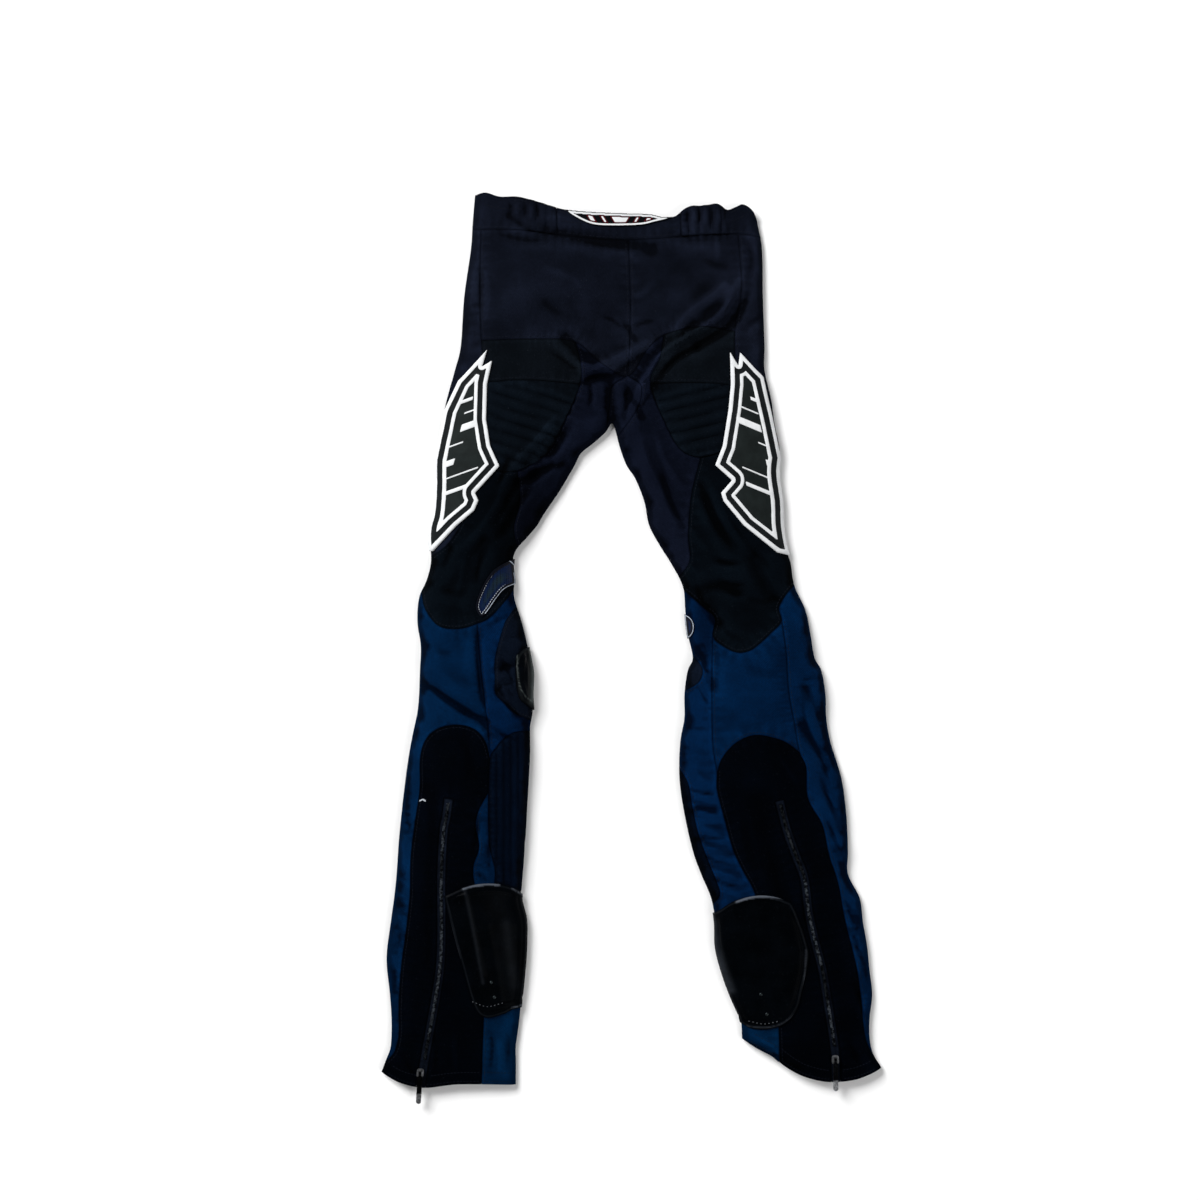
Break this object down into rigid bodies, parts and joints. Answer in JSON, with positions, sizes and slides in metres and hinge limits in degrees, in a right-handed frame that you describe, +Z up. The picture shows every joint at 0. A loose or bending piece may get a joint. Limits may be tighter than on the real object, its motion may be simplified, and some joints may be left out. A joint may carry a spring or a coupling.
{
  "type": "motorcycle trousers laid flat",
  "caption": "Armoured riding trousers laid flat, seat side up, with ribbed stretch thigh panels, moulded hip plates, ankle guards, a knee cup and long ankle zips.",
  "frame": {"origin": "on the surface the trousers lie on, under the middle of the whole box", "axes": "+Y from the hems to the waist, +Z up from the surface, +X to the wearer's right, because the seat side is up"},
  "size_m": [0.599, 1.089, 0.0447],
  "materials": {
    "navy_cloth": "matt, close woven stretch nylon, very dark navy",
    "black_cloth": "matt heavy woven nylon, near black",
    "black_stretch": "ribbed stretch cloth, near black",
    "blue_cloth": "matt brushed stretch nylon, dark blue",
    "navy_rib": "stitched narrow ribs, dark navy",
    "zip_tape": "woven tape, black",
    "plate_grey": "moulded soft plastic, dark grey with white lines",
    "guard_black": "smooth black, dull shine",
    "cup_grey": "glossy dark grey moulding",
    "mesh_blue": "open blue mesh in a pale stitched edge",
    "zip_metal": "plated, lightly worn"
  },
  "bodies": {
    "trousers": {"waistband_left": "navy_cloth", "waistband_centre": "navy_cloth", "waistband_right": "navy_cloth", "seat_left": "navy_cloth", "seat_right": "navy_cloth", "hip_side_left": "navy_cloth", "hip_side_right": "navy_cloth", "gusset": "navy_cloth", "inner_thigh_left": "navy_cloth", "inner_thigh_right": "navy_cloth", "waistband_front": "navy_cloth", "fly_flap": "navy_cloth", "front_hip_left": "navy_cloth", "front_hip_right": "navy_cloth", "thigh_pad_left": "black_cloth", "thigh_pad_right": "black_cloth", "thigh_back_left": "black_cloth", "thigh_back_right": "black_cloth", "calf_panel_left": "black_cloth", "calf_panel_right": "black_cloth", "front_thigh_left": "black_cloth", "front_thigh_right": "black_cloth", "thigh_stretch_left": "black_stretch", "thigh_stretch_right": "black_stretch", "knee_pad_left": "black_stretch", "knee_pad_right": "black_stretch", "front_knee_left": "black_stretch", "front_knee_right": "black_stretch", "knee_back_left": "blue_cloth", "knee_inner_left": "blue_cloth", "calf_wedge_left": "blue_cloth", "hem_left": "blue_cloth", "knee_back_right": "blue_cloth", "outer_strip_right": "blue_cloth", "inner_strip_right": "blue_cloth", "hem_right": "blue_cloth", "shin_pad_left": "navy_rib", "shin_pad_right": "navy_rib", "front_shin_left": "navy_rib", "front_shin_right": "navy_rib", "zip_tape_left": "zip_tape", "zip_tape_right": "zip_tape", "hip_plate_left": "plate_grey", "hip_plate_right": "plate_grey", "waist_patch": "plate_grey", "ankle_guard_left": "guard_black", "ankle_guard_right": "guard_black", "knee_cup_left": "cup_grey", "pod_left": "mesh_blue", "pod_right": "mesh_blue", "zip_slider_left": "zip_metal", "zip_slider_right": "zip_metal"},
    "pull_left": {"zip_pull_left": "zip_metal"},
    "pull_right": {"zip_pull_right": "zip_metal"}
  },
  "joints": [
    {"name": "left_zip_pull", "type": "hinge", "parent": "trousers", "child": "pull_left", "pos_m": [-0.2525, -0.50716, 0.02011], "axis": [-0.9978, 0.0665, 0], "range_deg": [0, 150]},
    {"name": "right_zip_pull", "type": "hinge", "parent": "trousers", "child": "pull_right", "pos_m": [0.2435, -0.49116, 0.02093], "axis": [-0.9999, -0.0171, 0], "range_deg": [0, 150]}
  ]
}
